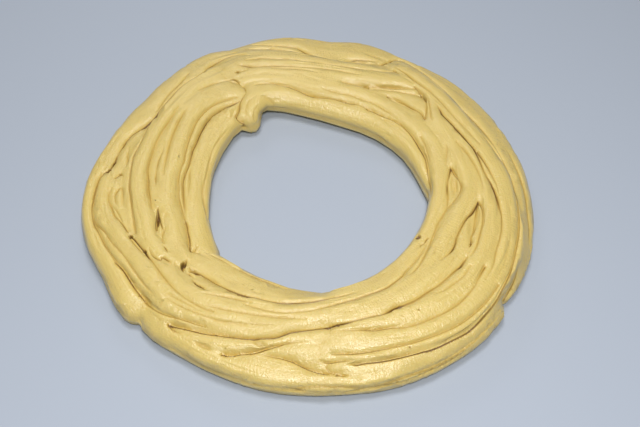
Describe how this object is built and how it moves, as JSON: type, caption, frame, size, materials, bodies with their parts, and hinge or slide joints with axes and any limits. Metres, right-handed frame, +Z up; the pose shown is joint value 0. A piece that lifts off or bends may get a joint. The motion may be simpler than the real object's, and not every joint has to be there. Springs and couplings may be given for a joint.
{
  "type": "zeppole",
  "caption": "Large ring of raw choux dough for a zeppola, piped through a star nozzle in overlapping ridged ropes round an open centre.",
  "frame": {"origin": "centre of the ring's bounding box, on the flat underside that lies on the baking paper", "axes": "+Z up out of the resting face; +Y towards the side with the folded rope end inside the ring"},
  "size_m": [0.2558, 0.2622, 0.0215],
  "materials": {
    "choux_dough": "moist satin dough"
  },
  "bodies": {
    "root": {"dough_ring": "choux_dough"}
  },
  "joints": []
}
